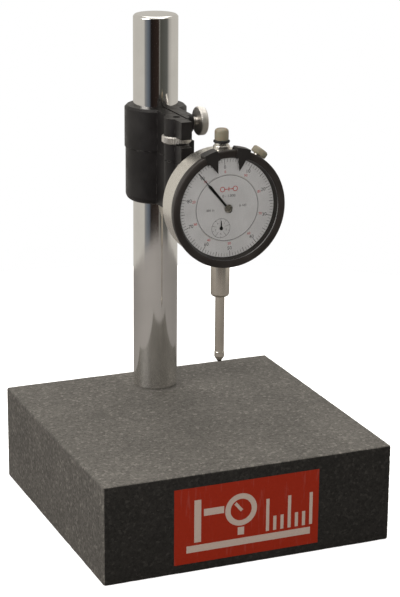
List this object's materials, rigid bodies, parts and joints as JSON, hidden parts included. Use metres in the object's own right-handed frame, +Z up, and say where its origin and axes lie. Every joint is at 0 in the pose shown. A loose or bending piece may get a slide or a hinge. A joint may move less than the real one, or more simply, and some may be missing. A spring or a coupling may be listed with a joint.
{
  "type": "dial indicator comparator stand",
  "caption": "Long-travel dial indicator on a chromed post, carried by a split clamp collar with fine adjustment over a square granite surface block.",
  "frame": {"origin": "centre of the granite block's underside", "axes": "+Z up along the post, +Y from the dial's face to the post at the back, +X to the right of someone who reads the dial"},
  "size_m": [0.1524, 0.1526, 0.2508],
  "materials": {
    "granite": "fine-ground grey granite",
    "label_film": "printed red label",
    "chrome_steel": "hard chrome plate, ground",
    "plain_steel": "turned steel",
    "black_enamel": "black enamel, slightly rough",
    "satin_case": "satin silver",
    "black_bezel": "black anodised, satin",
    "dial_face": "silvery dial, printed black",
    "brass_parts": "machined brass",
    "beige_plastic": "beige moulded plastic",
    "black_plastic": "black moulded plastic",
    "clear_crystal": "clear flat crystal",
    "black_rubber": "black rubber",
    "carbide": "dark hard alloy ball",
    "black_hand": "black painted hand"
  },
  "bodies": {
    "stand": {"granite_base": "granite", "base_label": "label_film", "post": "chrome_steel", "post_bolt": "plain_steel", "post_washer": "plain_steel"},
    "collar": {"clamp_collar": "black_enamel"},
    "thumbscrew": {"clamp_thumbscrew": "plain_steel"},
    "adjusting_wheel": {"fine_adjust_wheel": "plain_steel"},
    "carrier": {"indicator_carrier": "black_enamel", "fine_adjust_stud": "plain_steel", "lug_screw": "plain_steel", "lug_washer": "plain_steel"},
    "indicator": {"case_body": "satin_case", "back_cover": "satin_case", "back_cover_screws": "plain_steel", "stem": "plain_steel", "lower_bushing": "brass_parts", "upper_bushing": "plain_steel", "guide_rail": "plain_steel", "spring_post": "plain_steel", "return_spring": "plain_steel", "front_plate": "brass_parts", "front_plate_screws": "plain_steel", "centre_bridge": "brass_parts", "rack_bridge": "brass_parts", "pillars": "brass_parts", "bridge_screws": "plain_steel", "hairspring": "brass_parts", "dial_disc": "dial_face", "bezel_spring": "plain_steel", "bezel_lock_shoe": "plain_steel"},
    "spindle_group": {"spindle": "chrome_steel", "contact_point": "plain_steel", "contact_ball": "carbide", "lift_cap": "beige_plastic", "bumper_ring": "black_rubber", "guide_pin": "plain_steel", "spring_hook": "plain_steel"},
    "rack_arbor_group": {"rack_arbor": "plain_steel", "first_gear": "brass_parts", "counter_hand": "black_hand"},
    "centre_arbor_group": {"centre_arbor": "plain_steel", "main_pointer": "black_hand", "pointer_hub": "brass_parts"},
    "take_up_group": {"take_up_arbor": "plain_steel", "take_up_gear": "brass_parts"},
    "bezel_group": {"bezel": "black_bezel", "scale_ring": "dial_face", "crystal": "clear_crystal"},
    "left_marker": {"left_limit_marker": "black_plastic"},
    "right_marker": {"right_limit_marker": "black_plastic"},
    "lock_knob": {"bezel_lock_knob": "beige_plastic", "bezel_lock_screw": "plain_steel"}
  },
  "joints": [
    {"name": "collar_slide", "type": "slide", "parent": "stand", "child": "collar", "axis": [0, 0, 1], "range_m": [-0.024, 0.046]},
    {"name": "thumbscrew_turn", "type": "hinge", "parent": "collar", "child": "thumbscrew", "pos_m": [0.0011, 0.0262, 0.1996], "axis": [1, 0, 0], "range_deg": [0, 540]},
    {"name": "carrier_slide", "type": "slide", "parent": "collar", "child": "carrier", "axis": [0, 0, 1], "range_m": [-0.006, 0]},
    {"name": "adjusting_wheel_turn", "type": "hinge", "parent": "collar", "child": "adjusting_wheel", "pos_m": [-0.0009, 0.0204, 0.1928], "axis": [0, 0, 1], "range_deg": [0, 3090]},
    {"name": "indicator_tilt", "type": "hinge", "parent": "carrier", "child": "indicator", "pos_m": [0.0121, 0.0117, 0.1638], "axis": [1, 0, 0], "range_deg": [-10, 30]},
    {"name": "bezel_turn", "type": "hinge", "parent": "indicator", "child": "bezel_group", "pos_m": [0.0121, -0.0071, 0.1638], "axis": [0, 1, 0], "continuous": true},
    {"name": "left_marker_turn", "type": "hinge", "parent": "bezel_group", "child": "left_marker", "pos_m": [0.0121, -0.0071, 0.1638], "axis": [0, 1, 0], "range_deg": [-150, 6]},
    {"name": "right_marker_turn", "type": "hinge", "parent": "bezel_group", "child": "right_marker", "pos_m": [0.0121, -0.0071, 0.1638], "axis": [0, 1, 0], "range_deg": [-6, 150]},
    {"name": "lock_knob_turn", "type": "hinge", "parent": "indicator", "child": "lock_knob", "pos_m": [0.03057, -0.0088, 0.18744], "axis": [0.6157, 0, 0.788], "range_deg": [0, 180]},
    {"name": "spindle_slide", "type": "slide", "parent": "indicator", "child": "spindle_group", "axis": [0, 0, 1], "range_m": [0, 0.0254], "stiffness_N_per_m": 27.6, "springref_m": -0.036, "deforming": ["return_spring"]},
    {"name": "rack_arbor_turn", "type": "hinge", "parent": "indicator", "child": "rack_arbor_group", "pos_m": [0.0088, -0.0071, 0.1537], "axis": [0, 1, 0], "range_deg": [-721, 0]},
    {"name": "pointer_turn", "type": "hinge", "parent": "indicator", "child": "centre_arbor_group", "pos_m": [0.0121, -0.0071, 0.1638], "axis": [0, 1, 0], "range_deg": [0, 3601]},
    {"name": "take_up_turn", "type": "hinge", "parent": "indicator", "child": "take_up_group", "pos_m": [0.02001, -0.0071, 0.1709], "axis": [0, 1, 0], "range_deg": [-721, 0]}
  ],
  "couplings": [
    {"joint": "adjusting_wheel_turn", "follows": "carrier_slide", "rad_per_m": -8976},
    {"joint": "rack_arbor_turn", "follows": "spindle_slide", "rad_per_m": -494.74},
    {"joint": "pointer_turn", "follows": "spindle_slide", "rad_per_m": 2473.7},
    {"joint": "take_up_turn", "follows": "spindle_slide", "rad_per_m": -494.74}
  ]
}
